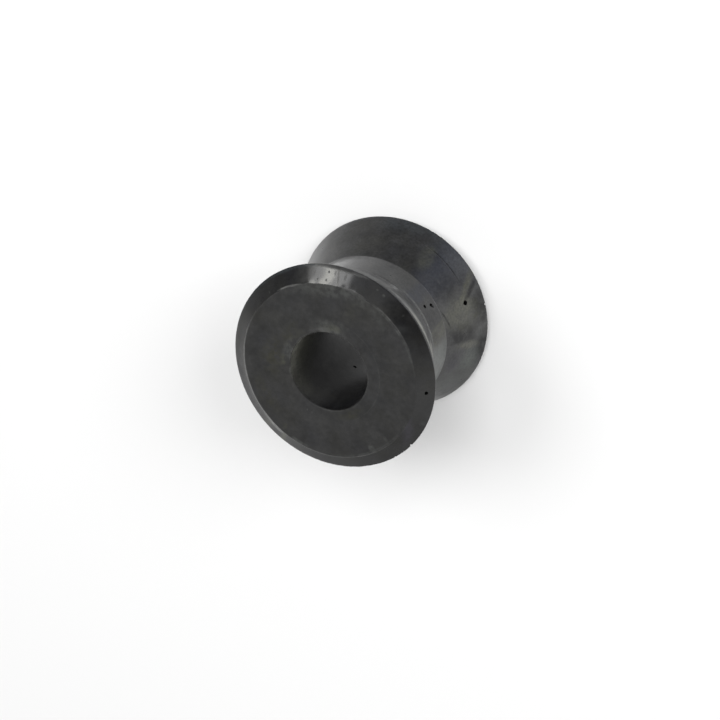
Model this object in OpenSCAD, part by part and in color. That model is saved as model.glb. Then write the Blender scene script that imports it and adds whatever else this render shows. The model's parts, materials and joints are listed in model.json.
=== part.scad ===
// Rubber bush for the eye of a shock absorber: a spool with a straight bore, a
// narrow waist that the eye sits on, and a flared flange with a bevelled end on
// each side. The axis is Z, the middle of the bore is the origin, and the end
// face that points up in Z is called the front. Sizes are in millimetres.

/* [Flanges] */
// Diameter of both rims, over their rounding
rim_d = 42; // [39:0.5:50]
// Distance along the axis from the middle of one rim to the middle of the other
rim_spacing = 29.5; // [24:0.5:40]
// Radius of the rounding on the rims
rim_round = 0.3; // [0.15:0.05:0.6]

/* [End faces] */
// Diameter of the flat end faces
face_d = 35.4; // [30:0.2:37]
// Height of the bevel between a rim and its end face, along the axis
bevel_h = 1.85; // [1.2:0.05:4]
// Radius of the rounding where a face meets its bevel
face_round = 0.4; // [0.2:0.05:0.8]

/* [Waist] */
// Diameter of the waist
waist_d = 32.4; // [26:0.2:35]
// Length of the straight waist between the feet of the flanges
waist_l = 7.4; // [4:0.2:14]
// Radius of the fillet at the foot of each flange
foot_fillet = 0.5; // [0.3:0.1:1.5]

/* [Bore] */
// Diameter of the bore
bore_d = 16; // [10:0.5:20]
// Radius of the rounding at both mouths of the bore
mouth_round = 0.35; // [0.2:0.05:0.8]

/* [Moulding marks] */
// Diameter of the gas bubble that was cut open on the rear flange
flange_bubble_d = 1; // [0.5:0.1:1.6]
// Diameter of the two bubbles side by side on the waist
waist_bubble_d = 0.8; // [0.5:0.1:1.4]
// Distance between the two bubbles on the waist
waist_bubble_gap = 2.4; // [1.6:0.1:3.5]
// Diameter of the bubble on the front bevel
bevel_bubble_d = 0.9; // [0.5:0.1:1.6]
// Diameter of the bubble in the wall of the bore
bore_bubble_d = 0.9; // [0.5:0.1:1.6]
// Width of the nick in each rim
nick_w = 0.8; // [0.4:0.1:1.6]
// Depth of the nick in each rim
nick_depth = 0.4; // [0.2:0.05:0.8]

/* [Hidden] */

// Segments of a full turn and of one rounded corner
$fn = 72;
ARC_STEPS = 5;

// Share of a bubble's diameter that its centre lies under the surface
BUBBLE_SINK = 0.22;

// Angles round the axis at which the marks lie, and how far they lie along their surface
FLANGE_BUBBLE_ANGLE = 21.5;
FLANGE_BUBBLE_SHARE = 0.57;
WAIST_BUBBLE_ANGLE = 34;
BEVEL_BUBBLE_ANGLE = -3;
BEVEL_BUBBLE_SHARE = 0.53;
BORE_BUBBLE_ANGLE = -112;
BORE_BUBBLE_SHARE = 0.12;
FRONT_NICK_ANGLE = -38.5;
REAR_NICK_ANGLE = 15;

RUBBER = [0.22, 0.22, 0.22];

rim_r = rim_d / 2;
face_r = face_d / 2;
waist_r = waist_d / 2;
bore_r = bore_d / 2;
rim_z = rim_spacing / 2;
face_z = rim_z + bevel_h;
foot_z = waist_l / 2;

// Corners of the upper half of the section, as [radius, height]
mouth_corner = [bore_r, face_z];
face_corner = [face_r, face_z];
rim_centre = [rim_r - rim_round, rim_z];
foot_corner = [waist_r, foot_z];
waist_middle = [waist_r, 0];
bore_middle = [bore_r, 0];

// Points where the bevel and the back of the flange meet the rounding of the rim
bevel_end = tangent_point(face_corner, rim_centre, rim_round, -1);
flange_end = tangent_point(foot_corner, rim_centre, rim_round, 1);

function direction(v) = atan2(v.y, v.x);
function unit(v) = v / norm(v);
function on_circle(centre, r, angle) = centre + r * [cos(angle), sin(angle)];
function between(a, b, share) = a + share * (b - a);

// Point where a line from p touches a circle, on its left (1) or right (-1) side
function tangent_point(p, centre, r, side) =
    on_circle(centre, r, direction(p - centre) + side * acos(r / norm(p - centre)));

// Points of an arc about a centre
function arc(centre, r, from, turn) =
    [for (i = [0 : ARC_STEPS]) on_circle(centre, r, from + turn * i / ARC_STEPS)];

// Points that round the corner b between a and c
function rounded(a, b, c, r) =
    let (
        half = acos(unit(a - b) * unit(c - b)) / 2,
        centre = b + unit(unit(a - b) + unit(c - b)) * r / sin(half),
        start = b + unit(a - b) * r / tan(half),
        side = sign(cross(b - a, c - b))
    )
    arc(centre, r, direction(start - centre), side * (180 - 2 * half));

// Points that go round the rim from the end of the bevel to the back of the flange
function rim_arc() =
    let (from = direction(bevel_end - rim_centre), to = direction(flange_end - rim_centre))
    arc(rim_centre, rim_round, from, to - from);

function upside_down(points) =
    [for (i = [len(points) - 1 : -1 : 0]) [points[i].x, -points[i].y]];

// Upper half of the section, from the mouth of the bore round to the waist
upper_section = concat(
    rounded(bore_middle, mouth_corner, face_corner, mouth_round),
    rounded(mouth_corner, face_corner, bevel_end, face_round),
    rim_arc(),
    rounded(flange_end, foot_corner, waist_middle, foot_fillet)
);

// Turned shape of the whole bush, with its bore
module spool() {
    rotate_extrude()
        polygon(concat(upper_section, upside_down(upper_section)));
}

// Gas bubble of diameter d that breaks the surface at the point [radius, height],
// where the surface looks outwards at the angle lean above the horizontal. Its own
// X axis points into the rubber.
module bubble(angle, point, lean, d) {
    rotate([0, 0, angle])
        translate([point.x, 0, point.y])
            rotate([0, 180 - lean, 0])
                translate([BUBBLE_SINK * d, 0, 0])
                    sphere(d = d, $fn = 20);
}

// Bubble on the back of the rear flange, which leans up towards the waist
module flange_bubble() {
    back = flange_end - foot_corner;
    spot = between(foot_corner, flange_end, FLANGE_BUBBLE_SHARE);
    bubble(FLANGE_BUBBLE_ANGLE, [spot.x, -spot.y], 90 - direction(back), flange_bubble_d);
}

// Two bubbles side by side on the waist, the rear one drawn out by a smaller third
module waist_bubbles() {
    front = [waist_r, waist_bubble_gap * 0.2];
    rear = [waist_r, -waist_bubble_gap * 0.8];
    spread = waist_bubble_d * 60 / waist_r;
    bubble(WAIST_BUBBLE_ANGLE + spread / 2, front, 0, waist_bubble_d * 0.8);
    bubble(WAIST_BUBBLE_ANGLE - spread / 2, rear, 0, waist_bubble_d);
    bubble(WAIST_BUBBLE_ANGLE - spread * 1.2, rear, 0, waist_bubble_d * 0.7);
}

// Bubble on the front bevel
module bevel_bubble() {
    spot = between(face_corner, bevel_end, BEVEL_BUBBLE_SHARE);
    lean = 90 + direction(bevel_end - face_corner);
    bubble(BEVEL_BUBBLE_ANGLE, spot, lean, bevel_bubble_d);
}

// Bubble in the wall of the bore, just behind its middle
module bore_bubble() {
    spot = between(bore_middle, [bore_r, -face_z], BORE_BUBBLE_SHARE);
    bubble(BORE_BUBBLE_ANGLE, spot, 180, bore_bubble_d);
}

// Wedge that nicks a rim at the height z
module nick(angle, z) {
    rotate([0, 0, angle])
        translate([rim_r - nick_depth, 0, z - rim_round * 4])
            linear_extrude(height = rim_round * 8)
                polygon([[0, 0], [nick_depth * 2, -nick_w], [nick_depth * 2, nick_w]]);
}

module bushing() {
    color(RUBBER)
        difference() {
            spool();
            flange_bubble();
            waist_bubbles();
            bevel_bubble();
            bore_bubble();
            nick(FRONT_NICK_ANGLE, rim_z);
            nick(REAR_NICK_ANGLE, -rim_z);
        }
}

bushing();
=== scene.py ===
# %% [markdown]
# # A rubber bush for a shock absorber
#
# The real object is one lump of moulded black rubber, shaped like a spool. A bolt
# or a sleeve goes through its bore, and the eye of the shock absorber sits on its
# waist, between two flared flanges. Each flange ends in a bevel and a flat face.
#
# The notebook loads the solid model as a fixed frame, sets up the view of the
# photo and its light, turns the rubber from its section, adds the marks of the
# mould, and then gives the rubber its finishes.

# %% Load the frame
import json
import math

import bmesh
import bpy
from mathutils import Matrix, Vector, noise


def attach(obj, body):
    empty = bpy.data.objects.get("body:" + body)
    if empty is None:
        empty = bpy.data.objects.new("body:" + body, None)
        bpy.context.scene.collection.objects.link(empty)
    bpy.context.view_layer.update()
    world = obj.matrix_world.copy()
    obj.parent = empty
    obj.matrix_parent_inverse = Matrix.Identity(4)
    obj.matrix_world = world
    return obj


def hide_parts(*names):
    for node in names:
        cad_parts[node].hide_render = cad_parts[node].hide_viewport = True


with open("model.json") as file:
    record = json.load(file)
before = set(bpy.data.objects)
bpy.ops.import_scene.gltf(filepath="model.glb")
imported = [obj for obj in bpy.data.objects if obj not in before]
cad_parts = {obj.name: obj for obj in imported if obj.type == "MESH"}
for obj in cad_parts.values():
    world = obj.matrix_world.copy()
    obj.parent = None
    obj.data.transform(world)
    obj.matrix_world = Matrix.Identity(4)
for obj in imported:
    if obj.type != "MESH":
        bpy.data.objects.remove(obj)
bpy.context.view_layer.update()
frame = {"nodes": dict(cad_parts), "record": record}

MM = 0.001

# %% [markdown]
# ## Sizes from the solid model
#
# The rubber that shows has to fill the same space as the solid that collides, so
# its sizes aren't typed in again. The bore and the waist are mounts in the record,
# and the rest is read off the solid's own vertices as radius and height.

# %% Read the sizes
mounts = {mount["name"]: mount for mount in frame["record"]["mounts"]}
bore_r = mounts["bore"]["dims"]["r_mm"] * MM
waist_r = mounts["eye_seat"]["dims"]["r_mm"] * MM

HAIR = 0.02 * MM
solid = [(math.hypot(v.co.x, v.co.y), abs(v.co.z)) for v in frame["nodes"]["bushing"].data.vertices]
face_z = max(z for r, z in solid)
face_flat_r = max(r for r, z in solid if z > face_z - HAIR)
rim_r, rim_z = max(solid)
foot_z = max(z for r, z in solid if abs(r - waist_r) < HAIR)
print(f"bore {bore_r / MM:.2f}, waist {waist_r / MM:.2f}, rim {rim_r / MM:.2f} mm in radius")
print(f"face at {face_z / MM:.2f}, rim at {rim_z / MM:.2f}, foot at {foot_z / MM:.2f} mm in height")

# %% [markdown]
# ## The view
#
# In the photo the bush lies on its rims, and the camera looks down on it and a
# little past its front face. Here it stands on its rear face, because that is how
# it rests. So the camera is rolled instead of the bush: its three axes are worked
# out from the two angles at which the photo sees the bush's own axis. The middle
# of the front rim then fixes its place: it shows at one pixel of the picture, and
# it lies ahead of the camera at a distance that is given in rim radii.

# %% Aim the camera
PICTURE = 720
FOCAL_PX = 1304.6
SENSOR_MM = 36
TURN = math.radians(23.99)
TILT = math.radians(25.06)
RIM_PIXEL = (332.34, 368.16)
RIM_DISTANCE = 11.81

right = Vector((math.cos(TURN), 0, -math.sin(TURN)))
up = Vector((-math.sin(TURN) * math.sin(TILT), math.cos(TILT), -math.cos(TURN) * math.sin(TILT)))
ahead = up.cross(right)

front_rim = Vector((0, 0, rim_z))
depth = RIM_DISTANCE * rim_r
offset_x = (RIM_PIXEL[0] - PICTURE / 2) / FOCAL_PX
offset_y = (PICTURE / 2 - RIM_PIXEL[1]) / FOCAL_PX

camera_data = bpy.data.cameras.new("photo_camera")
camera_data.sensor_width = SENSOR_MM
camera_data.lens = SENSOR_MM * FOCAL_PX / PICTURE
camera_data.clip_start = 1 * MM
camera = bpy.data.objects.new("photo_camera", camera_data)
bpy.context.collection.objects.link(camera)
camera.matrix_world = Matrix((right, up, -ahead)).transposed().to_4x4()
camera.location = front_rim - depth * (ahead + offset_x * right + offset_y * up)
bpy.context.scene.camera = camera
print("camera at, mm:", [round(c / MM) for c in camera.location])

# %% [markdown]
# ## Sums in a shader
#
# Everything below that has a shader is written as plain sums. A `Wire` stands for
# a value on its way through a node tree, so `a * 2 + b` makes the nodes that it
# says. One method adds any other node.

# %% Write shaders as sums
class Wire:
    """A value on its way through a node tree."""

    def __init__(self, socket):
        self.socket = socket

    def node(self, kind, settings, inputs, output=0):
        """Adds a node to the same tree, makes its settings and then fills its sockets."""
        made = self.socket.id_data.nodes.new(kind)
        for name, value in settings.items():
            setattr(made, name, value)
        for name, value in inputs.items():
            if isinstance(value, Wire):
                made.id_data.links.new(value.socket, made.inputs[name])
            else:
                made.inputs[name].default_value = value
        return Wire(made.outputs[output])

    def maths(self, operation, *others):
        """A sum of this value, and of others after it."""
        return self.node("ShaderNodeMath", {"operation": operation}, dict(enumerate((self, *others))))

    def __add__(self, other):
        return self.maths("ADD", other)

    def __sub__(self, other):
        return self.maths("SUBTRACT", other)

    def __rsub__(self, other):
        return self.node("ShaderNodeMath", {"operation": "SUBTRACT"}, {0: other, 1: self})

    def __mul__(self, other):
        return self.maths("MULTIPLY", other)

    def __truediv__(self, other):
        return self.maths("DIVIDE", other)

    __radd__ = __add__
    __rmul__ = __mul__

    def part(self, name):
        """The X, Y or Z of a vector."""
        return self.node("ShaderNodeSeparateXYZ", {}, {0: self}, name)

    def rise(self, start, end):
        """0 before start and 1 after end, with a smooth way between. It may also run downwards."""
        limits = {"Value": self, "From Min": start, "From Max": end}
        return self.node("ShaderNodeMapRange", {"interpolation_type": "SMOOTHSTEP"}, limits)

    def mix(self, first, second):
        """First where this value is 0 and second where it is 1, for shaders."""
        return self.node("ShaderNodeMixShader", {}, {0: self, 1: first, 2: second})


def start_tree(owner, coordinates):
    """Empties the node tree of a material or the world, and gives a Wire to its coordinates."""
    owner.use_nodes = True
    owner.node_tree.nodes.clear()
    return Wire(owner.node_tree.nodes.new("ShaderNodeTexCoord").outputs[coordinates])


def end_tree(shader, kind):
    """Ties a finished shader to the output node of its tree."""
    tree = shader.socket.id_data
    tree.links.new(shader.socket, tree.nodes.new(kind).inputs["Surface"])
    print(f"{tree.name}: {len(tree.nodes)} nodes")


# %% [markdown]
# ## Light
#
# The photo was taken on white paper, with one soft box to the front left. The bulb
# in the box shows on the glossy bevel as a brighter and warmer strip, so it is a
# narrow lamp of its own. Directions are easiest to give as the photographer would:
# an angle round from straight behind the bush, and an angle above the paper.
# Distances and sizes of lamps are in metres.

# %% Write how a lamp hangs
PAPER_UP = Vector((0, 1, 0))
PAPER_BACK = Vector((-math.sin(TURN), 0, -math.cos(TURN)))


def toward(azimuth, elevation):
    """Direction at an angle round from straight behind the bush, and one above the paper."""
    a, e = math.radians(azimuth), math.radians(elevation)
    return math.cos(e) * (math.cos(a) * PAPER_BACK + math.sin(a) * right) + math.sin(e) * PAPER_UP


def hang(name, azimuth, elevation, distance, size, radiance, receivers, colour=(1, 1, 1)):
    """A soft box that points at the bush. The radiance is what a mirror would show of it."""
    data = bpy.data.lights.new(name, "AREA")
    data.shape = "RECTANGLE"
    data.size, data.size_y = size
    data.energy = radiance * math.pi * size[0] * size[1]
    data.color = colour
    lamp = bpy.data.objects.new(name, data)
    way = toward(azimuth, elevation)
    side = PAPER_UP.cross(way).normalized()
    lamp.matrix_world = Matrix((side, way.cross(side), way)).transposed().to_4x4()
    lamp.location = way * distance
    lamp.visible_camera = False
    lamp.light_linking.receiver_collection = receivers
    bpy.context.collection.objects.link(lamp)
    level = data.energy / (math.pi * distance) ** 2
    print(f"{name}: {data.energy:.2f} W, lights a surface that faces it to {level:.2f}")


# %% [markdown]
# The paper has three lamps of its own, and each throws one of the soft shadows
# that lie round the bush. The rubber would get too bright with them. Light linking
# keeps the two groups apart: a lamp lights only what is in its collection, and the
# bush still throws its shadow.

# %% Hang the lamps
NEAR = 0.6
FAR = 2.0
WARM = (1, 0.985, 0.88)

rubber_only = bpy.data.collections.new("rubber_only")
paper_only = bpy.data.collections.new("paper_only")
hang("front_left_box", -129.8, 36, NEAR, (0.255, 0.80), 4.2, rubber_only)
hang("front_left_bulb", -128.6, 36, NEAR, (0.062, 0.50), 5.0, rubber_only, WARM)
hang("paper_top_box", -166.6, 34.1, FAR, (0.90, 0.90), 12.4, paper_only)
hang("paper_left_box", -124.2, 25.5, FAR, (1.00, 1.00), 7.5, paper_only)
hang("paper_right_box", 152.7, 29.5, FAR, (0.90, 0.90), 12.9, paper_only)

# %% [markdown]
# The world is the rest of the room. It is pale below, where the paper lies, dark
# just above the paper and dim overhead, and a little darker on the camera's side.
# Soft fields are laid over that: a white wall behind, a reflector at the right, and
# so on. Each has its two angles, the radius in degrees up to which it is full, the
# one at which it ends, and its colour. The last field takes light away, because the
# bush shades the paper beside it.

# %% Describe the room
BY_HEIGHT = [
    (-90, 0.42), (-60, 0.58), (-42, 0.85), (-20, 0.88),
    (-6, 0.5), (6, 0.13), (30, 0.10), (90, 0.17),
]
FRONT_PART = 0.75
FRONT_FADE = (0.2, 0.95)
FIELDS = {
    "wall behind": (-4, 14, 12, 38, (1.0, 1.0, 1.0)),
    "wall at the left": (-34, 20, 10, 45, (0.15, 0.15, 0.15)),
    "reflector at the right": (98, 8, 12, 45, (0.9, 0.9, 0.9)),
    "window at the right": (92, 44, 14, 22, (0.40, 0.44, 0.60)),
    "corner behind": (44, 20, 10, 34, (0.6, 0.6, 0.6)),
    "ceiling in front": (-150, 31, 8, 32, (0.50, 0.50, 0.50)),
    "lamp low in front": (118, 10, 6, 18, (2.0, 2.0, 1.9)),
    "shadow of the bush": (40, -58, 10, 40, (-0.22, -0.22, -0.22)),
}
print("fields of the room:", ", ".join(FIELDS))

# %% [markdown]
# The heights become a colour ramp. The dot product of two directions is the cosine
# of the angle between them, so each field is a soft disc round its own direction.
# The camera sees plain white instead of the room.

# %% Build the room
def ramp_place(elevation):
    """Where an elevation in degrees lies on the ramp, which runs from 0 below to 1 overhead."""
    return 0.5 + 0.5 * math.sin(math.radians(elevation))


world = bpy.data.worlds.new("room")
bpy.context.scene.world = world
way = start_tree(world, "Generated")
height = way.part("Y") * 0.5 + 0.5
light = height.node("ShaderNodeValToRGB", {}, {"Fac": height})
ramp = light.socket.node.color_ramp
for elevation, radiance in BY_HEIGHT[1:-1]:
    ramp.elements.new(ramp_place(elevation))
for element, (elevation, radiance) in zip(ramp.elements, BY_HEIGHT):
    element.position = ramp_place(elevation)
    element.color = (radiance, radiance, radiance, 1)
front = 1 - (1 - FRONT_PART) * way.part("Z").rise(*FRONT_FADE)
light = way.node("ShaderNodeVectorMath", {"operation": "SCALE"}, {0: light, "Scale": front})
for azimuth, elevation, full, faded, colour in FIELDS.values():
    facing = {0: way, 1: toward(azimuth, elevation)}
    near = way.node("ShaderNodeVectorMath", {"operation": "DOT_PRODUCT"}, facing, 1)
    mask = near.rise(math.cos(math.radians(faded)), math.cos(math.radians(full)))
    light = mask.node("ShaderNodeVectorMath", {"operation": "MULTIPLY_ADD"}, {0: mask, 1: colour, 2: light})
room = way.node("ShaderNodeBackground", {}, {"Color": light})
white = way.node("ShaderNodeBackground", {}, {"Color": (1, 1, 1, 1)})
eye = way.node("ShaderNodeLightPath", {}, {}, "Is Camera Ray")
end_tree(eye.mix(room, white), "ShaderNodeOutputWorld")

# %% [markdown]
# The floor is the same paper, lifted to white apart from the shadow. It shows
# itself and takes the shadow, but the rubber doesn't see it. In the photo the
# paper lies below the bush and not behind it, and there the room already has it.

# %% Lay the floor
FLOOR_SIZE = 4.0
PAPER = (0.5, 0.5, 0.5, 1)
PAPER_LIFT = 0.10

floor_mesh = bpy.data.meshes.new("floor")
square = bmesh.new()
bmesh.ops.create_grid(square, x_segments=1, y_segments=1, size=FLOOR_SIZE / 2)
bmesh.ops.translate(square, vec=(0, 0, -face_z), verts=square.verts)
square.to_mesh(floor_mesh)
square.free()
floor = bpy.data.objects.new("floor", floor_mesh)
floor.visible_diffuse = False
floor.visible_glossy = False
floor.visible_shadow = False
bpy.context.collection.objects.link(floor)
paper_only.objects.link(floor)

paper = bpy.data.materials.new("white_paper")
spot = start_tree(paper, "Object")
plain = spot.node("ShaderNodeBsdfDiffuse", {}, {"Color": PAPER})
lift = spot.node("ShaderNodeEmission", {}, {"Strength": PAPER_LIFT})
end_tree(spot.node("ShaderNodeAddShader", {}, {0: plain, 1: lift}), "ShaderNodeOutputMaterial")
floor_mesh.materials.append(paper)

# %% [markdown]
# ## The section
#
# The mould for this bush was turned on a lathe, so the rubber is a section spun
# round the axis. The section starts as its eight corners. Bevelling a corner
# vertex cuts it back along both its edges and rounds it, as the polished mould
# rounds the real one. The rims' corners start a little too far out, because that
# takes them back to the rims' own radius.

# %% Draw the section
MOUTH_REACH = 0.35 * MM
FACE_REACH = 0.14 * MM
RIM_REACH = 0.22 * MM
FOOT_REACH = 0.16 * MM
RIM_TIP = 0.06 * MM
CORNER_SEGMENTS = 5

face_r = face_flat_r + FACE_REACH
half = [
    (bore_r, face_z, MOUTH_REACH),
    (face_r, face_z, FACE_REACH),
    (rim_r + RIM_TIP, rim_z, RIM_REACH),
    (waist_r, foot_z, FOOT_REACH),
]
corners = half + [(r, -z, reach) for r, z, reach in reversed(half)]

bush = bmesh.new()
outline = [bush.verts.new((r, 0, z)) for r, z, reach in corners]
for a, b in zip(outline, outline[1:] + outline[:1]):
    bush.edges.new((a, b))
for vert, (r, z, reach) in zip(outline, corners):
    bmesh.ops.bevel(
        bush, geom=[vert], offset=reach, offset_type="OFFSET",
        affect="VERTICES", segments=CORNER_SEGMENTS, profile=0.5, material=-1,
    )
print("rounded section:", len(bush.verts), "points")

# %% [markdown]
# The long edges are divided, so that the rubber can be pushed in and out a little
# where the real one is uneven. The bore needs few divisions, because nothing in
# it is shaped by moving vertices.

# %% Divide the long edges
SECTION_STEP = 0.4 * MM
BORE_STEP = 1.3 * MM

for edge in list(bush.edges):
    in_bore = max(v.co.x for v in edge.verts) < bore_r + HAIR
    cuts = round(edge.calc_length() / (BORE_STEP if in_bore else SECTION_STEP)) - 1
    if cuts > 0:
        bmesh.ops.subdivide_edges(bush, edges=[edge], cuts=cuts)
print("divided section:", len(bush.verts), "points")

# %% [markdown]
# A spin of one eighth of a turn is copied round seven times. The result is the
# same as one full spin, but merging the last ring into the first is quick.

# %% Spin it
SECTORS = 8
STEPS = 400
WELD = HAIR / 10

bmesh.ops.spin(
    bush, geom=bush.verts[:] + bush.edges[:], cent=(0, 0, 0), axis=(0, 0, 1), dvec=(0, 0, 0),
    angle=math.tau / SECTORS, steps=STEPS // SECTORS, use_merge=False, use_duplicate=False,
)
sector = bush.verts[:] + bush.edges[:] + bush.faces[:]
for i in range(1, SECTORS):
    copied = bmesh.ops.duplicate(bush, geom=sector)["geom"]
    moved = [part for part in copied if isinstance(part, bmesh.types.BMVert)]
    turn = Matrix.Rotation(math.tau * i / SECTORS, 3, "Z")
    bmesh.ops.rotate(bush, cent=(0, 0, 0), matrix=turn, verts=moved)
bmesh.ops.remove_doubles(bush, verts=bush.verts, dist=WELD)
bmesh.ops.recalc_face_normals(bush, faces=bush.faces)
print("spun:", len(bush.faces), "faces, volume", round(bush.calc_volume() / MM**3), "cubic mm")

# %% [markdown]
# ## Where a mark lies
#
# Marks are placed by an angle round the axis and a share of the way along their
# surface. The angle starts at the right of the photo's front face and grows
# upwards. Each surface is a straight line in the section, so a share of it gives
# a radius and a height, and its slope gives the way that it looks.

# %% Name the surfaces
SURFACES = {
    "face": ((bore_r, face_z), (face_r, face_z)),
    "bevel": ((face_r, face_z), (rim_r, rim_z)),
    "front flank": ((rim_r, rim_z), (waist_r, foot_z)),
    "waist": ((waist_r, foot_z), (waist_r, -foot_z)),
    "rear flank": ((waist_r, -foot_z), (rim_r, -rim_z)),
    "bore": ((bore_r, face_z), (bore_r, -face_z)),
}


def on_surface(surface, share):
    """Radius, height and outward lean of the point that lies a share of the way along."""
    (r0, z0), (r1, z1) = SURFACES[surface]
    lean = math.atan2(r1 - r0, z0 - z1)
    return r0 + (r1 - r0) * share, z0 + (z1 - z0) * share, lean


def at_angle(degrees, r, z):
    """A point given as an angle, a radius and a height."""
    return Vector((r * math.cos(math.radians(degrees)), r * math.sin(math.radians(degrees)), z))


for name in SURFACES:
    r, z, lean = on_surface(name, 0.5)
    print(f"{name}: middle at {r / MM:.2f}, {z / MM:.2f} mm, leans {math.degrees(lean):.0f} degrees")

# %% [markdown]
# ## Unevenness
#
# Rubber shrinks as it cools, so its surfaces wander by about a hundredth of a
# millimetre, which is enough to bend a highlight. The waist, the flanks and the
# bevels get smooth noise along their normals. The edge of the front face is worn
# back along the stretch that the photo shows, and the rim is ragged low down. A
# stretch is given by the two angles between which it sets in, and the two between
# which it ends.

# %% Write a smooth stretch
def smooth(x, start, end):
    """Rises smoothly from 0 at start to 1 at end."""
    t = min(max((x - start) / (end - start), 0), 1)
    return t * t * (3 - 2 * t)


def stretch(x, sets_in, ends, drop=1):
    """0 before a stretch and 1 along it. At its end it falls by drop, so to 0 if drop is 1."""
    return smooth(x, *sets_in) * (1 - smooth(x, *ends) * drop)


# %% Push the surfaces about
WANDER = 0.012 * MM
WANDER_SIZE = 4.5 * MM
WORN = ((34, 62), (112, 119))
WORN_DEPTH = 0.20 * MM
WORN_SIZE = 1.5 * MM
WORN_WIDTH = 0.5 * MM
WORN_MIDDLE = 0.7
RAGGED = ((-112, -95), (-60, -48))
RAGGED_DEPTH = 0.09 * MM
RAGGED_SIZE = 1.6 * MM
RAGGED_WIDTH = 4 * RAGGED_DEPTH

normals = {v: v.normal.copy() for v in bush.verts}
for vert, normal in normals.items():
    r = math.hypot(vert.co.x, vert.co.y)
    z = vert.co.z
    angle = math.degrees(math.atan2(vert.co.y, vert.co.x))
    outward = Vector((vert.co.x / r, vert.co.y / r, 0))
    if r > waist_r - HAIR and abs(z) < face_z - HAIR:
        vert.co += normal * WANDER * noise.noise(vert.co / WANDER_SIZE)
    if z > rim_z + WORN_WIDTH and r > bore_r + WORN_WIDTH:
        near_edge = math.exp(-(((r - face_r) / WORN_WIDTH) ** 2))
        uneven = WORN_MIDDLE + noise.noise(vert.co / WORN_SIZE)
        vert.co -= outward * WORN_DEPTH * stretch(angle, *WORN) * near_edge * uneven
    if r > rim_r - RAGGED_WIDTH and z > 0:
        teeth = abs(noise.noise(vert.co / RAGGED_SIZE))
        vert.co -= outward * RAGGED_DEPTH * stretch(angle, *RAGGED) * teeth
print("volume with its unevenness:", round(bush.calc_volume() / MM**3), "cubic mm")

# %% [markdown]
# ## Flow line and flash
#
# Two streams of rubber met on the rear flank and left a fine groove there. The
# halves of the mould left a bit of flash across the front flank, which shows as a
# lump, pale from chalk and from a painted highlight on its ridge. Both are finer
# than the mesh, so the faces around them are divided first, and then the vertices
# are moved by a formula.

# %% Measure from the flow line and from the flash
FLOW_ANGLES = (29, 82)
FLOW_SHARES = (0.638, 0.692)
FLASH_ANGLE = 59.5
FLASH_SHARES = (0.45, 1.0)


def where(co):
    """Angle in degrees and share along the flank, counted from the waist to the rim."""
    angle = math.degrees(math.atan2(co.y, co.x))
    share = (math.hypot(co.x, co.y) - waist_r) / (rim_r - waist_r)
    return angle, share


def near_flow(co):
    """Distance from the flow line, or None off its ends."""
    angle, share = where(co)
    if co.z > -foot_z or not FLOW_ANGLES[0] < angle < FLOW_ANGLES[1]:
        return None
    along = (angle - FLOW_ANGLES[0]) / (FLOW_ANGLES[1] - FLOW_ANGLES[0])
    line = FLOW_SHARES[0] + (FLOW_SHARES[1] - FLOW_SHARES[0]) * along
    return (share - line) * flank_length


def near_flash(co):
    """Distance round from the ridge of flash, or None past its ends."""
    angle, share = where(co)
    if not foot_z - HAIR < co.z < rim_z or share > 1 - FLASH_SHARES[0]:
        return None
    return math.radians(angle - FLASH_ANGLE) * math.hypot(co.x, co.y)


flank_length = math.hypot(rim_r - waist_r, rim_z - foot_z)
print(f"flank {flank_length / MM:.2f} mm long, flow line over {FLOW_ANGLES[1] - FLOW_ANGLES[0]} degrees")

# %% Divide the faces near them
FLOW_WIDTH = 0.13 * MM
FLOW_REACH = 5 * FLOW_WIDTH
FLASH_WIDTH = 0.42 * MM
FLASH_REACH = 2.5 * FLASH_WIDTH
CLOSE_CUTS = 3


def refine(distance, reach):
    """Divides the faces that lie within reach of a line."""
    away = {face: distance(face.calc_center_median()) for face in bush.faces}
    close = [face for face, d in away.items() if d is not None and abs(d) < reach]
    edges = list({edge for face in close for edge in face.edges})
    bmesh.ops.subdivide_edges(bush, edges=edges, cuts=CLOSE_CUTS, use_grid_fill=True)
    print(len(close), "faces divided, now", len(bush.faces))


refine(near_flow, FLOW_REACH)
refine(near_flash, FLASH_REACH)

# %% Cut the flow line and raise the flash
FLOW_DEPTH = 0.07 * MM
FLOW_FULL = (42, 56)
FLOW_DROP = 0.75
FLASH_HEIGHT = 0.16 * MM
FLASH_FULL = (0.65, 0.9)

bush.normal_update()
normals = {v: v.normal.copy() for v in bush.verts}
for vert, normal in normals.items():
    flow = near_flow(vert.co)
    if flow is not None:
        along = where(vert.co)[0]
        ends = stretch(along, (FLOW_ANGLES[0], FLOW_FULL[0]), (FLOW_FULL[1], FLOW_ANGLES[1]), FLOW_DROP)
        vert.co -= normal * FLOW_DEPTH * ends * math.exp(-((flow / FLOW_WIDTH) ** 2))
    flash = near_flash(vert.co)
    if flash is not None:
        share = 1 - where(vert.co)[1]
        ends = stretch(share, (FLASH_SHARES[0], FLASH_FULL[0]), (FLASH_FULL[1], FLASH_SHARES[1]))
        vert.co += normal * FLASH_HEIGHT * ends * math.exp(-((flash / FLASH_WIDTH) ** 2))
print("volume with groove and ridge:", round(bush.calc_volume() / MM**3), "cubic mm")

# %% [markdown]
# ## Six finishes on one lump
#
# The mould was polished on the bevels and plain elsewhere, the end faces were
# trimmed and are dull, and the bore came off a core pin. The flanks and the waist
# have aged, each in its own way. So the one mesh carries six materials, and each
# face takes the one of the surface that it lies on. They are filled in further
# down.

# %% Share out the finishes
FINISHES = [
    "dull_end_rubber", "glossy_bevel_rubber", "pale_flank_rubber",
    "satin_waist_rubber", "stained_flank_rubber", "bore_rubber",
]
ENDS, BEVELS, FRONT_FLANK, WAIST, REAR_FLANK, BORE = range(len(FINISHES))


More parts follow.
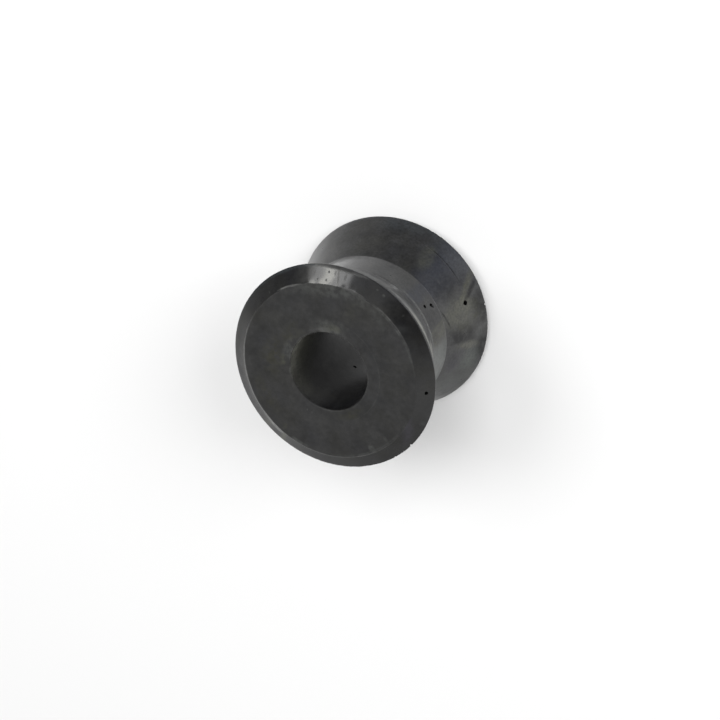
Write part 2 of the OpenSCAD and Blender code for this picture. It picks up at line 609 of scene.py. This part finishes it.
def finish_at(co):
    """Which finish a face has, by where its middle lies."""
    r = math.hypot(co.x, co.y)
    if r < bore_r + HAIR:
        return BORE
    if abs(co.z) > face_z - HAIR * 2 or r < bore_r + MOUTH_REACH:
        return ENDS
    if abs(co.z) > rim_z:
        return BEVELS
    if abs(co.z) < foot_z:
        return WAIST
    return FRONT_FLANK if co.z > 0 else REAR_FLANK


for face in bush.faces:
    face.material_index = finish_at(face.calc_center_median())
counts = [sum(face.material_index == i for face in bush.faces) for i in range(len(FINISHES))]
print("faces of each finish:", dict(zip(FINISHES, counts)))

rubber_mesh = bpy.data.meshes.new("rubber_bush")
bush.to_mesh(rubber_mesh)
bush.free()
rubber = bpy.data.objects.new("rubber_bush", rubber_mesh)
bpy.context.collection.objects.link(rubber)
rubber_only.objects.link(rubber)
for name in FINISHES:
    rubber_mesh.materials.append(bpy.data.materials.new(name))

# %% [markdown]
# ## Bubbles and nicks
#
# Gas left small bubbles in the rubber, and a few of them lie open at the surface.
# A bubble is a ball pressed out of shape by noise and sunk a little way in, so that
# its mouth is narrower than the hollow behind it and looks black. The three nicks
# in the rims are wedges: a cube that stands on its edge and points into the rim.

# %% Shape the cutters
BUBBLE_SINK = 0.3
LUMPS = 0.18
LUMPS_ACROSS = 3
LUMPS_SHIFT = 10
NICK_LENGTH = 1.6 * MM

cutters = bmesh.new()


def stand_at(angle, surface, share):
    """Matrix of a point on a surface: X looks out of the rubber, Y goes round, Z goes along."""
    r, z, lean = on_surface(surface, share)
    out = lean if surface != "bore" else math.pi
    tilt = Matrix.Rotation(-out, 4, "Y")
    return Matrix.Translation(at_angle(angle, r, z)) @ Matrix.Rotation(math.radians(angle), 4, "Z") @ tilt


def bubble(angle, surface, share, width, length, depth):
    """An open bubble, with its sizes round the axis, along the surface and into the rubber."""
    made = bmesh.ops.create_icosphere(cutters, subdivisions=3, radius=0.5)["verts"]
    for vert in made:
        own_place = Vector((angle, share * LUMPS_SHIFT, 0))
        vert.co *= 1 + LUMPS * noise.noise(vert.co * LUMPS_ACROSS + own_place)
    size = Matrix.Diagonal((depth, width, length, 1))
    sink = Matrix.Translation((-BUBBLE_SINK * depth, 0, 0))
    bmesh.ops.transform(cutters, matrix=stand_at(angle, surface, share) @ sink @ size, verts=made)


def nick(angle, z, width, depth, slant):
    """A wedge that points into the rim."""
    made = bmesh.ops.create_cube(cutters, size=1)["verts"]
    size = Matrix.Diagonal((depth * math.sqrt(2), width, NICK_LENGTH, 1))
    wedge = Matrix.Rotation(math.radians(slant), 4, "X") @ size @ Matrix.Rotation(math.radians(45), 4, "Z")
    place = Matrix.Translation(at_angle(angle, rim_r, z)) @ Matrix.Rotation(math.radians(angle), 4, "Z")
    bmesh.ops.transform(cutters, matrix=place @ wedge, verts=made)


# %% [markdown]
# The photo shows five bubbles, one of them drawn out by a smaller one beside it.
# All the cutters are one mesh.

# %% Place the bubbles and the nicks
bubble(21.7, "rear flank", 0.575, 1.20 * MM, 1.30 * MM, 1.4 * MM)
bubble(32.0, "waist", 0.78, 0.60 * MM, 0.65 * MM, 1.0 * MM)
bubble(33.7, "waist", 0.735, 0.95 * MM, 1.25 * MM, 1.4 * MM)
bubble(35.9, "waist", 0.42, 0.90 * MM, 1.05 * MM, 1.4 * MM)
bubble(-2.8, "bevel", 0.54, 0.85 * MM, 0.90 * MM, 1.2 * MM)
bubble(-111, "bore", 0.56, 1.05 * MM, 0.85 * MM, 0.45 * MM)
nick(-38.5, rim_z, 0.36 * MM, 0.38 * MM, -32)
nick(-51.0, rim_z, 0.30 * MM, 0.16 * MM, -32)
nick(15.0, -rim_z, 0.46 * MM, 0.42 * MM, -20)

cutter_mesh = bpy.data.meshes.new("bubbles_and_nicks")
cutters.to_mesh(cutter_mesh)
cutters.free()
cutter = bpy.data.objects.new("bubbles_and_nicks", cutter_mesh)
bpy.context.collection.objects.link(cutter)
print("cutters:", len(cutter_mesh.vertices), "vertices")

# %% [markdown]
# A Boolean takes the cutters away from the rubber, and the result is kept as the
# rubber's own mesh. Slivers from the cut are dissolved, and the edges round the
# marks are kept sharp.

# %% Cut them out
SHARP = math.radians(38)
SLIVER = HAIR / 20

cut = rubber.modifiers.new("cut", "BOOLEAN")
cut.operation = "DIFFERENCE"
cut.solver = "MANIFOLD"
cut.object = cutter
evaluated = rubber.evaluated_get(bpy.context.evaluated_depsgraph_get())
rubber.data = bpy.data.meshes.new_from_object(evaluated)
rubber.modifiers.remove(cut)
bpy.data.objects.remove(cutter)
bpy.data.meshes.remove(cutter_mesh)
bpy.data.meshes.remove(rubber_mesh)
rubber_mesh = rubber.data
rubber_mesh.name = "rubber_bush"

marked = bmesh.new()
marked.from_mesh(rubber_mesh)
bmesh.ops.dissolve_degenerate(marked, dist=SLIVER, edges=marked.edges)
for edge in marked.edges:
    edge.smooth = not edge.is_manifold or edge.calc_face_angle() < SHARP
for face in marked.faces:
    face.smooth = True
open_edges = sum(not edge.is_manifold for edge in marked.edges)
marked.to_mesh(rubber_mesh)
print("after the cut:", len(marked.faces), "faces,", open_edges, "open edges")
marked.free()
print("triangles:", sum(len(p.vertices) - 2 for p in rubber_mesh.polygons))

# %% [markdown]
# ## Stains and scuffs
#
# Old rubber isn't one flat black. Oils and wax come to its surface and leave pale,
# olive and bluish films, and the mould leaves smoky patches, which also take away
# the gloss. Films and patches are painted as stains. Some stains are painted light
# and shade instead: highlights along rounded edges and on the waist, a pool of light
# and shade in the bore, and a reflection's edge on the waist. Each is an oval that
# lies at an angle and a share of its surface, as the bubbles do. One noise bends its
# outline and another breaks it up, so that no two look alike.
#
# A stain mixes another colour into the rubber, and a scuff another roughness.
# Under them lie clouds that are paler or darker, yellower or bluer. Over them lies
# a fine dust.

# %% Name the colours
PALE = (0.075, 0.078, 0.075)
# chalk, and also painted highlights along rounded edges
CHALK_AND_HIGHLIGHT = (0.24, 0.24, 0.235)
# cream, and also painted light in the bore and on its mouth
CREAM_AND_LIGHT = (0.38, 0.38, 0.335)
OLIVE = (0.068, 0.069, 0.050)
MOSS = (0.078, 0.078, 0.048)
# smoke, and also painted shade in the bore and by the waist's rear foot
SMOKE_AND_SHADE = (0.005, 0.005, 0.006)
UMBER = (0.034, 0.033, 0.018)
STEEL = (0.050, 0.056, 0.062)
VIOLET = (0.046, 0.042, 0.058)
BLUE = (0.026, 0.029, 0.038)
GREEN = (0.070, 0.080, 0.072)
STRAW = (0.10, 0.10, 0.08)
SAND = (0.09, 0.09, 0.07)
MIST = (0.11, 0.115, 0.11)
# a painted highlight on the waist
PAINTED_HIGHLIGHT = (0.16, 0.16, 0.16)
print("smoke is the darkest film:", SMOKE_AND_SHADE, "and cream the palest:", CREAM_AND_LIGHT)

# %% Write the noise and the oval
PER_MM = 1 / MM
BENT_IN_FULL = 0.6


def noise_at(place, size_mm, detail, rough=0.5):
    """Smooth noise between 0 and 1 with features of about a size."""
    inputs = {"Vector": place, "Scale": PER_MM / size_mm, "Detail": detail, "Roughness": rough}
    return place.node("ShaderNodeTexNoise", {}, inputs)


def oval(angle, share, bend, mark):
    """1 inside a mark and 0 outside it. A mark with a crisp edge is bent less than a soft one."""
    at_degrees, at_share, half_degrees, half_share, lean, soft = mark
    along = share - at_share
    turned = (angle - at_degrees - along * lean).maths("WRAP", 180, -180)
    away = (turned / half_degrees).maths("POWER", 2) + (along / half_share).maths("POWER", 2)
    return (away.maths("SQRT") + bend * min(1, soft / BENT_IN_FULL)).rise(1 + soft, 1 - soft)


# %% [markdown]
# A point of the surface is turned into the same angle and share that the marks are
# given in. It is worked out from the object's own coordinates, so a stain keeps its
# place on the rubber when the part is moved.

# %% Write where a point lies and how it is clouded
DEGREES = 180 / math.pi
ROUGH_NOISE = 0.6
CLOUD_SIZE = 4.2
CLOUD_STRENGTH = 2.4
CLOUD_DARKEST = 0.15
HUE_SIZE = 5.5
TINT = (0.006, 0.004, -0.009)


def angle_and_share(place, surface):
    """The angle in degrees of a point, and its share of the way along a surface."""
    x, y, z = (place.part(axis) for axis in "XYZ")
    r = (x * x + y * y).maths("SQRT")
    (r0, z0), (r1, z1) = SURFACES[surface]
    length = math.hypot(r1 - r0, z1 - z0)
    share = ((r - r0) * ((r1 - r0) / length) + (z - z0) * ((z1 - z0) / length)) / length
    return y.maths("ARCTAN2", x) * DEGREES, share


def clouded(place, rubber_colour, clouds):
    """The rubber's own colour, paler and darker in places, and yellower and bluer in others."""
    cloud = noise_at(place, CLOUD_SIZE, detail=6, rough=ROUGH_NOISE) - 0.5
    mottle = (cloud * (CLOUD_STRENGTH * clouds) + 1).maths("MAXIMUM", CLOUD_DARKEST)
    colour = place.node("ShaderNodeVectorMath", {"operation": "SCALE"}, {0: rubber_colour, "Scale": mottle})
    hue = (noise_at(place, HUE_SIZE, detail=3) - 0.5) * clouds
    return hue.node("ShaderNodeVectorMath", {"operation": "MULTIPLY_ADD"}, {0: hue, 1: TINT, 2: colour})


# %% [markdown]
# A finish has the rubber's own colour, its roughness, its stains and its scuffs.
# `level` says how well it mirrors at all, `grain` how deep its fine grain is and
# `clouds` how strong its clouds are. `whole` is how much of a stain is left where
# the noise breaks it up. `dust_size` is in millimetres, and `dusty` says how strong
# the dust is.

# %% Write the recipe of a finish
BEND = 0.9
BEND_SIZE = 3.0
BROKEN = (0.34, 0.60)
BROKEN_SIZE = 1.3
SCUFF_BEND = 0.4
GLOSS_SPREAD = 0.10
GLOSS_SIZE = 1.7
GRAIN_DEPTH = 0.01 * MM
GRAIN_SIZE = 0.17
MATT = 0.35


def paint(
    name, surface, rubber_colour, roughness, stains, scuffs=(),
    level=0.5, grain=0.25, clouds=1.0, whole=0.55, dust_size=0.45, dusty=1.0,
):
    """Fills in a finish: rubber with stains in its colour, scuffs in its gloss and a fine grain."""
    place = start_tree(bpy.data.materials[name], "Object")
    angle, share = angle_and_share(place, surface)
    bend = (noise_at(place, BEND_SIZE, detail=5, rough=ROUGH_NOISE) - 0.5) * (2 * BEND)
    broken = noise_at(place, BROKEN_SIZE, detail=4, rough=ROUGH_NOISE).rise(*BROKEN)

    colour = clouded(place, rubber_colour, clouds)
    smoke_and_shade_masks = []
    for stain_colour, strength, *mark in stains:
        mask = oval(angle, share, bend, mark) * (broken * (1 - whole) + whole) * strength
        # smoke and painted shade both take away the gloss
        if stain_colour == SMOKE_AND_SHADE:
            smoke_and_shade_masks.append(mask)
        mix = {0: mask, 6: colour, 7: (*stain_colour, 1)}
        colour = mask.node("ShaderNodeMix", {"data_type": "RGBA"}, mix, 2)
    dust = (noise_at(place, dust_size, detail=2) - 0.5) * (dusty * clouds) + 1
    colour = dust.node("ShaderNodeVectorMath", {"operation": "SCALE"}, {0: colour, "Scale": dust})

    gloss = noise_at(place, GLOSS_SIZE, detail=3) * GLOSS_SPREAD + (roughness - GLOSS_SPREAD / 2)
    for scuffed, strength, *mark in scuffs:
        mask = oval(angle, share, bend * SCUFF_BEND, mark) * strength
        gloss = gloss + mask * (scuffed - gloss)

    height = noise_at(place, GRAIN_SIZE, detail=3)
    bumps = {"Height": height, "Strength": grain, "Distance": GRAIN_DEPTH}
    inputs = {"Base Color": colour, "Roughness": gloss, "Normal": place.node("ShaderNodeBump", {}, bumps)}
    shader = place.node("ShaderNodeBsdfPrincipled", {}, inputs | {"Specular IOR Level": level})
    if smoke_and_shade_masks:
        matt = place.node("ShaderNodeBsdfPrincipled", {}, inputs | {"Specular IOR Level": level * MATT})
        dull = smoke_and_shade_masks[0]
        for mask in smoke_and_shade_masks[1:]:
            dull = dull.maths("MAXIMUM", mask)
        shader = dull.maths("MINIMUM", 1).mix(shader, matt)
    print(f"{name}: {len(stains)} stains, {len(scuffs)} scuffs")
    end_tree(shader, "ShaderNodeOutputMaterial")


# %% [markdown]
# ## The rear flank and the waist
#
# The rear flank is the most stained surface that the photo shows: a bluish film at
# the upper right, olive smears round the bubble and smoke below. A painted picture
# could hold them too, but a list of ovals can be read and changed, and it fits the
# surface at any size.
#
# A stain is a colour and a strength, then an angle in degrees and a share, half its
# width in degrees, half its length as a share, how many degrees it leans over the
# whole surface, and how soft its edge is.

# %% Paint the rear flank
MOULDED = (0.034, 0.034, 0.034)
REAR_STAINS = [
    (GREEN, 0.45, -36, 0.45, 14, 0.50, 0, 0.8),
    (SMOKE_AND_SHADE, 0.70, -50, 0.80, 11, 0.40, 0, 0.8),
    (BLUE, 0.65, 47, 0.55, 12, 0.80, 0, 0.8),
    (SMOKE_AND_SHADE, 0.50, 37, 0.38, 8, 0.42, 0, 0.7),
    (SMOKE_AND_SHADE, 0.15, 47, 0.25, 10, 0.35, 0, 0.8),
    (PALE, 0.35, 47, 0.82, 9, 0.16, 0, 0.7),
    (OLIVE, 0.60, 58, 0.45, 4.5, 0.22, 0, 0.6),
    (STEEL, 0.60, 76, 0.95, 18, 0.14, 0, 0.7),
    (STEEL, 0.50, 112, 1.00, 34, 0.06, 0, 0.7),
    (SMOKE_AND_SHADE, 0.30, 121, 0.75, 10, 0.40, 0, 0.8),
    (STEEL, 0.40, 86, 0.82, 9, 0.14, 0, 0.8),
    (SMOKE_AND_SHADE, 0.75, 15, 0.87, 10, 0.19, 0, 0.7),
    (SMOKE_AND_SHADE, 0.90, -8, 0.92, 11, 0.17, 0, 0.7),
    (SMOKE_AND_SHADE, 0.80, 3, 0.36, 7, 0.30, 0, 0.7),
    (SMOKE_AND_SHADE, 0.50, 6, 0.12, 7, 0.12, 0, 0.7),
    (SMOKE_AND_SHADE, 0.35, 6, 0.68, 5, 0.12, 0, 0.7),
    (VIOLET, 0.60, -16, 0.28, 7, 0.16, 10, 0.8),
    (SMOKE_AND_SHADE, 0.30, -15, 0.24, 6, 0.12, 0, 0.7),
    (GREEN, 1.00, -16, 0.63, 7, 0.20, 0, 0.8),
    (STRAW, 0.90, -5, 0.52, 2.2, 0.22, -5, 0.8),
    (PALE, 0.50, 1, 0.80, 4, 0.10, 0, 0.7),
    (OLIVE, 0.90, 17, 0.40, 8.5, 0.36, -4, 0.7),
    (SAND, 0.80, 21, 0.54, 4, 0.15, 0, 0.7),
    (MOSS, 0.60, 31.5, 0.80, 2.2, 0.28, 22, 0.7),
    (SMOKE_AND_SHADE, 0.70, 27.2, 0.80, 1.8, 0.18, 20, 0.6),
    (SMOKE_AND_SHADE, 0.80, 19, 0.07, 2.4, 0.05, -120, 0.4),
]
paint(
    "stained_flank_rubber", "rear flank", MOULDED, 0.30, REAR_STAINS,
    grain=0.3, clouds=0.85, whole=0.5, dusty=1.6,
)

# %% [markdown]
# The waist is the same rubber with fewer stains. It is greenish at the lower right,
# bluish and smoky further round, and it has a thin pale line near each foot. Those
# lines are ovals too, which are very wide and very short. The greenish patch is also
# lighter, with a sharp edge, as a painted reflection. A grey oval on the left is a
# painted highlight, and a dark one above it by the rear foot is painted shade where
# that highlight ends.

# %% Paint the waist
WAIST_STAINS = [
    # lighter with a sharp edge: greenish, and partly a painted reflection
    (GREEN, 0.85, -13, 0.50, 20, 3.00, 0, 0.14),
    (MIST, 0.60, -12, 0.92, 10, 0.30, 0, 0.6),
    (PALE, 0.25, 60, 0.50, 9, 0.80, 0, 0.8),
    (SMOKE_AND_SHADE, 0.35, 26, 0.50, 7, 0.60, 0, 0.7),
    (BLUE, 1.15, 46, 0.50, 5.5, 1.50, 0, 0.6),
    (SMOKE_AND_SHADE, 0.45, 12, 0.32, 4, 0.28, 0, 0.7),
    (MOSS, 0.45, 12, 0.55, 6, 0.50, 0, 0.9),
    (CHALK_AND_HIGHLIGHT, 0.30, 20, 0.985, 26, 0.02, 0, 0.6),
    (OLIVE, 0.90, 13, 0.90, 3.2, 0.32, 0, 0.7),
    (OLIVE, 0.70, 18.5, 0.60, 1.3, 0.45, 3, 0.7),
    (SMOKE_AND_SHADE, 0.28, 77, 0.50, 16, 0.55, 0, 0.8),
    (PALE, 0.85, 30, 0.09, 30, 0.05, 0, 0.6),
    (CHALK_AND_HIGHLIGHT, 0.28, 29, 0.11, 18, 0.028, 0, 0.6),
    (SMOKE_AND_SHADE, 0.70, 71, 0.02, 10, 0.08, 0, 0.6),
    # painted highlight
    (PAINTED_HIGHLIGHT, 1.10, 108, 0.52, 7, 0.34, 0, 0.7),
    # painted shade where the highlight ends by the rear foot
    (SMOKE_AND_SHADE, 0.85, 113, 1.02, 17, 0.36, 0, 0.6),
]
paint(
    "satin_waist_rubber", "waist", MOULDED, 0.30, WAIST_STAINS,
    clouds=0.9, whole=0.5, dusty=1.8,
)

# %% [markdown]
# ## The front flange
#
# The back of the front flange is seen at a glancing angle. It is pale all over,
# partly because wax has bloomed on it and partly as a painted sheen of the glancing
# light, with a chalky band a little under the rim and the lump of flash, which is
# chalky and carries a painted highlight on its ridge.

# %% Paint the back of the front flange
# pale partly from bloom and partly as a painted sheen of the glancing light
BLOOM_AND_SHEEN = (0.085, 0.085, 0.085)
FRONT_STAINS = [
    (SMOKE_AND_SHADE, 0.60, 45, 0.03, 36, 0.07, 0, 0.6),
    (CHALK_AND_HIGHLIGHT, 1.30, 35, 0.28, 19, 0.14, 0, 0.5),
    (CREAM_AND_LIGHT, 0.92, 31, 0.27, 13, 0.11, 0, 0.7),
    (SMOKE_AND_SHADE, 0.25, 46, 0.80, 8, 0.26, 0, 0.7),
    (CREAM_AND_LIGHT, 0.85, 10, 0.78, 6, 0.42, -12, 0.7),
    (CHALK_AND_HIGHLIGHT, 0.18, 62, 0.50, 6, 0.26, 0, 0.7),
    (CHALK_AND_HIGHLIGHT, 0.45, 73, 0.36, 10, 0.16, 0, 0.7),
    # the flash: chalky, with a painted highlight on its ridge
    (CHALK_AND_HIGHLIGHT, 1.10, 58.8, 0.90, 2.6, 0.34, 0, 0.9),
]
paint("pale_flank_rubber", "front flank", BLOOM_AND_SHEEN, 0.40, FRONT_STAINS)

# %% [markdown]
# The bevels were polished in the mould and are nearly mirrors, so most of their
# look comes from the lamps and the room. The small specks and scratches in the
# highlight are scuffs: they change the roughness and leave the colour. A scuff is
# a roughness and a strength, and then the same as a stain. The pale lines along
# the edge of the face are painted highlights of its rounding, and a faint pale
# oval is a painted highlight that draws out the left end of the lamp's highlight.

# %% Paint the bevels
POLISHED = (0.020, 0.020, 0.020)
BEVEL_STAINS = [
    (SMOKE_AND_SHADE, 0.35, -102, 0.50, 14, 0.70, 0, 0.7),
    (SMOKE_AND_SHADE, 0.60, 45, 0.55, 9, 0.45, 0, 0.7),
    (SMOKE_AND_SHADE, 0.70, 82, 0.93, 8, 0.16, 0, 0.7),
    # a painted highlight that draws out the left end of the lamp's highlight
    (CHALK_AND_HIGHLIGHT, 0.08, 104, 0.45, 4.5, 1.20, 0, 0.9),
    (SMOKE_AND_SHADE, 0.60, -155, 0.70, 30, 0.38, 0, 0.7),
    # the next two: painted highlights along the rounded edge of the face
    (CHALK_AND_HIGHLIGHT, 0.38, -160, 0.04, 34, 0.12, 0, 0.6),
    (CHALK_AND_HIGHLIGHT, 0.80, -130, 0.12, 8, 0.20, 0, 0.7),
    (OLIVE, 0.60, -134, 0.60, 2.2, 0.50, 0, 0.7),
    (OLIVE, 0.90, -122, 0.50, 1.6, 1.50, 0, 0.6),
    (VIOLET, 0.50, -30, 0.30, 5.0, 0.40, -16, 0.8),
    (PALE, 0.30, -22, 0.80, 1.6, 0.30, 0, 0.7),
    (PALE, 0.20, 38, 0.20, 2.4, 0.35, -6, 0.8),
    # the next five: painted highlights along the rounded edge of the face
    (CHALK_AND_HIGHLIGHT, 0.45, 40, 0.00, 15, 0.06, 0, 0.7),
    (CHALK_AND_HIGHLIGHT, 0.10, 0, -0.02, 34, 0.035, 0, 0.5),
    (CHALK_AND_HIGHLIGHT, 0.28, -62, 0.01, 24, 0.05, 0, 0.7),
    (CHALK_AND_HIGHLIGHT, 0.30, -104, 0.04, 26, 0.06, 0, 0.7),
    (CHALK_AND_HIGHLIGHT, 0.50, 117, 0.03, 6, 0.06, 60, 0.6),
    (STEEL, 0.70, 116, 0.97, 16, 0.14, 0, 0.7),
    (STEEL, 0.30, 145, 0.97, 20, 0.10, 0, 0.7),
    # a painted highlight along the rounded edge of the face
    (CHALK_AND_HIGHLIGHT, 0.12, 166, 0.03, 20, 0.07, 0, 0.6),
    (PALE, 0.60, 57.5, 0.68, 0.7, 0.06, 0, 0.6),
    (PALE, 0.50, 62, 0.72, 0.6, 0.05, 0, 0.6),
    (PALE, 0.35, 43, 0.66, 0.6, 0.08, 0, 0.6),
    (PALE, 0.30, 131, 0.25, 0.6, 0.08, 0, 0.6),
]
BEVEL_SCUFFS = [
    (0.55, 1.00, 86, 1.00, 17, 0.18, 0, 0.4),
    (0.20, 1.00, 100.5, 0.50, 2.2, 1.50, 0, 0.8),
    (0.55, 1.00, 73, 0.00, 8, 0.07, 0, 0.8),
    (0.70, 0.45, 84.3, 0.42, 0.7, 0.42, 2.0, 0.5),
    (0.45, 0.80, 80.5, 0.55, 0.8, 0.20, 0, 0.5),
    (0.60, 0.90, 90.3, 0.62, 0.5, 0.06, 0, 0.4),
    (0.55, 0.80, 96.5, 0.22, 0.5, 0.08, 0, 0.5),
    (0.55, 0.70, 91.0, 0.20, 0.6, 0.06, 0, 0.5),
    (0.50, 0.60, 98.5, 0.55, 0.5, 0.10, 0, 0.5),
    (0.50, 0.60, 86.5, 0.62, 0.6, 0.12, 0, 0.5),
]
paint(
    "glossy_bevel_rubber", "bevel", POLISHED, 0.12, BEVEL_STAINS, BEVEL_SCUFFS,
    grain=0.05, clouds=0.75, dusty=0.5,
)

# %% [markdown]
# ## The face and the bore
#
# The face is the dullest part. Its smudges lie mostly round the mouth of the bore,
# and they are broken up the most, because trimming left the face a little rough.
# Thin pale lines on the rounded mouth are painted light, and those on the rounded
# outer edge are painted highlights.

# %% Paint the ends
TRIMMED = (0.028, 0.028, 0.028)
END_STAINS = [
    (PALE, 0.65, 86, 0.91, 26, 0.09, 0, 0.9),
    (PALE, 0.28, 92, 0.79, 12, 0.06, 0, 0.8),
    (PALE, 0.28, 49, 0.80, 9, 0.08, 0, 0.8),
    (CHALK_AND_HIGHLIGHT, 0.26, 90, 0.06, 17, 0.06, 0, 0.8),
    (PALE, 0.60, 90, 0.16, 18, 0.12, 0, 0.8),
    (OLIVE, 0.45, 84, 0.12, 9, 0.07, 0, 0.7),
    (PALE, 0.60, 158, 0.11, 15, 0.08, 0, 0.8),
    (OLIVE, 0.60, 176, 0.13, 6, 0.08, 0, 0.8),
    (UMBER, 0.60, 172, 0.40, 14, 0.16, 0, 0.9),
    (UMBER, 0.45, 140, 0.24, 12, 0.12, 0, 0.9),
    (UMBER, 0.45, -62, 0.14, 14, 0.08, 0, 0.9),
    (UMBER, 0.40, -150, 0.75, 12, 0.14, 0, 0.9),
    (OLIVE, 0.15, 130, 0.10, 10, 0.07, 0, 0.7),
    (OLIVE, 0.12, 69, 0.55, 5, 0.25, 0, 0.7),
    (PALE, 0.60, -58, 0.92, 1.6, 0.09, 0, 0.6),
    (PALE, 0.30, -45, 0.88, 1.2, 0.06, 0, 0.6),
    (PALE, 0.70, -112, 0.98, 5, 0.04, 0, 0.6),
    (OLIVE, 0.40, -125, 0.88, 2.0, 0.07, 0, 0.6),
    (PALE, 0.70, -117, 0.20, 0.9, 0.02, 0, 0.4),
    (PALE, 0.70, -111, 0.20, 0.9, 0.02, 0, 0.4),
    (PALE, 0.18, 5, 0.26, 60, 0.012, 0, 0.6),
    # the next three: painted light on the rounded mouth of the bore
    (PALE, 0.40, 25, 0.010, 45, 0.025, 0, 0.6),
    (PALE, 0.50, 155, 0.015, 35, 0.030, 0, 0.7),
    (CREAM_AND_LIGHT, 0.20, 160, 0.004, 32, 0.018, 0, 0.8),
    # the next two: painted highlights on the rounded outer edge
    (PALE, 0.60, 42, 0.985, 26, 0.025, 0, 0.7),
    (PALE, 0.35, -64, 0.985, 30, 0.025, 0, 0.7),
]
paint(
    "dull_end_rubber", "face", TRIMMED, 0.60, END_STAINS,
    level=0.3, grain=0.6, clouds=0.6, whole=0.10, dust_size=0.85, dusty=1.3,
)

# %% [markdown]
# The bore came off a smooth core pin. Its stains are painted light and shade: a
# pale, olive-tinted pool of painted light where its left side turns to the light
# near the mouth, and painted shade deeper in, darkest low down.

# %% Paint the bore
CORED = (0.022, 0.022, 0.023)
BORE_STAINS = [
    # the first five: painted light, olive-tinted, where light falls on the left wall near the mouth
    (CREAM_AND_LIGHT, 0.42, -209, 0.30, 28, 0.24, 0, 0.9),
    (OLIVE, 0.90, -200, 0.14, 50, 0.12, 0, 0.9),
    (CREAM_AND_LIGHT, 0.70, -222, 0.02, 41, 0.10, 0, 0.9),
    (CREAM_AND_LIGHT, 0.20, -192, 0.17, 24, 0.09, 0, 0.9),
    (CREAM_AND_LIGHT, 0.12, -146, 0.05, 28, 0.09, 0, 0.9),
    # the last two: painted shade, deeper in and darkest low down
    (SMOKE_AND_SHADE, 0.50, -132, 0.43, 64, 0.24, 0, 0.9),
    (SMOKE_AND_SHADE, 0.70, -76, 0.18, 30, 0.32, 0, 0.4),
]
paint("bore_rubber", "bore", CORED, 0.42, BORE_STAINS, whole=0.75)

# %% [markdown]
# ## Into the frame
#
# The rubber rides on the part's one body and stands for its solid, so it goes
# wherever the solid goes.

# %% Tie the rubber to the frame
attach(rubber, "root")
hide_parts("bushing")

scene = bpy.context.scene
scene.view_settings.view_transform = "Standard"
scene.cycles.use_denoising = True
